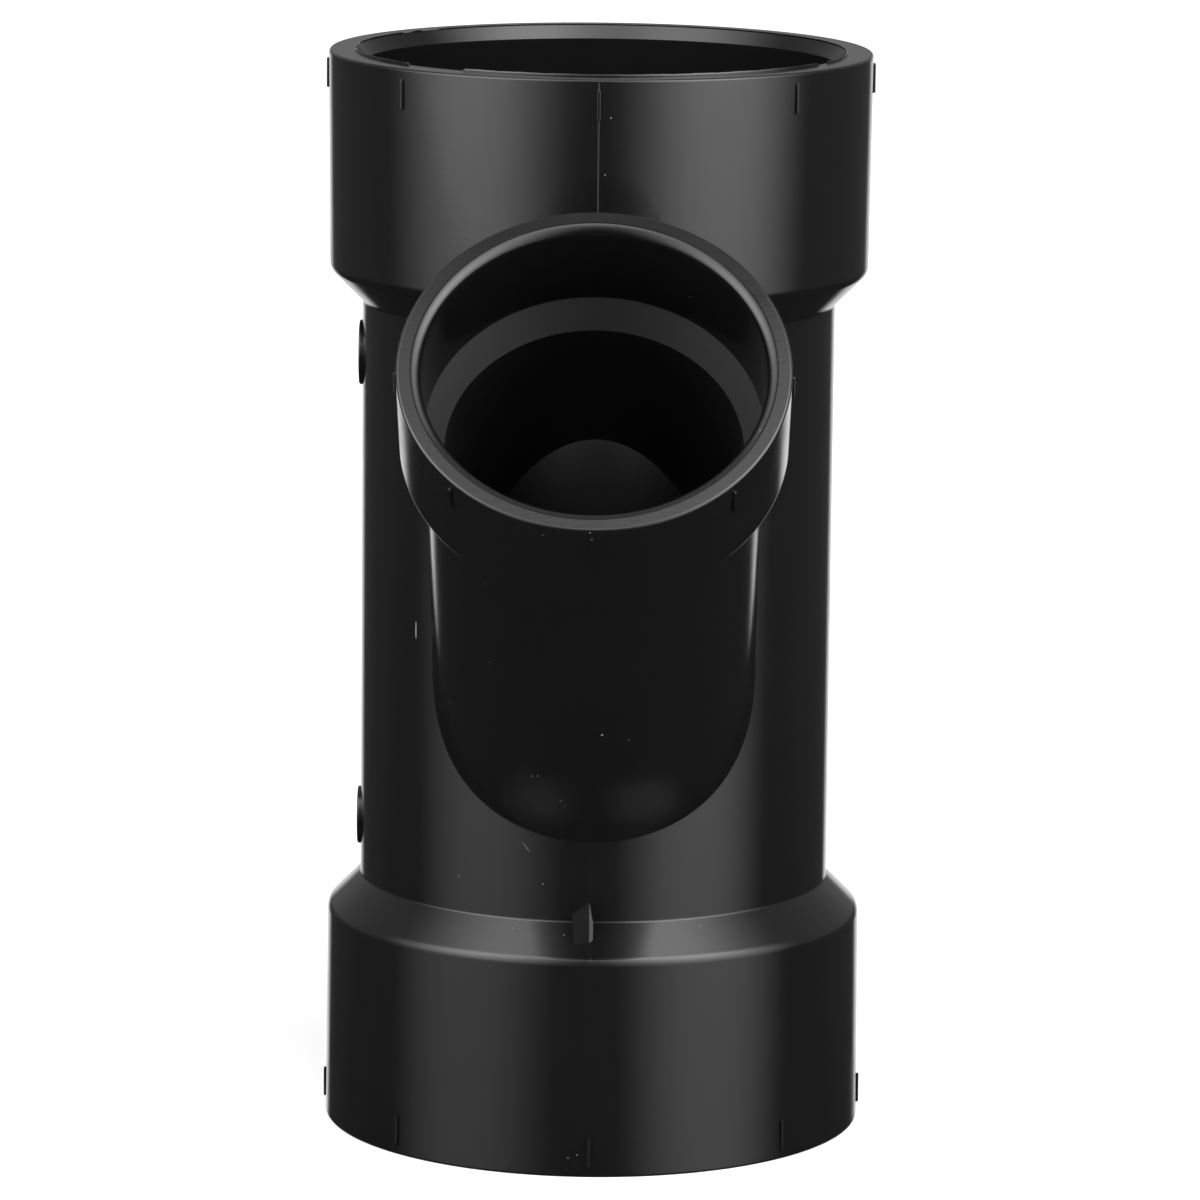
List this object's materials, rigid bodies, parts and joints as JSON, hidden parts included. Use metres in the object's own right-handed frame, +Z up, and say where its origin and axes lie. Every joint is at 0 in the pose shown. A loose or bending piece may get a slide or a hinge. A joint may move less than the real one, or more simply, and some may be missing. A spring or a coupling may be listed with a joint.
{
  "type": "reducing double wye pipe fitting",
  "caption": "One-piece moulded drain fitting: a straight run with a hub socket at each end and two smaller 45 degree branches, front and rear, each ending in a hub socket.",
  "frame": {"origin": "centre of the lower rim of the run, on the surface that it stands on", "axes": "+Z up the axis of the run, -Y towards the front branch, +Y towards the rear branch"},
  "size_m": [0.1028, 0.2462, 0.2041],
  "materials": {
    "black_abs": "satin, as moulded"
  },
  "bodies": {
    "root": {"fitting_body": "black_abs"}
  },
  "joints": []
}
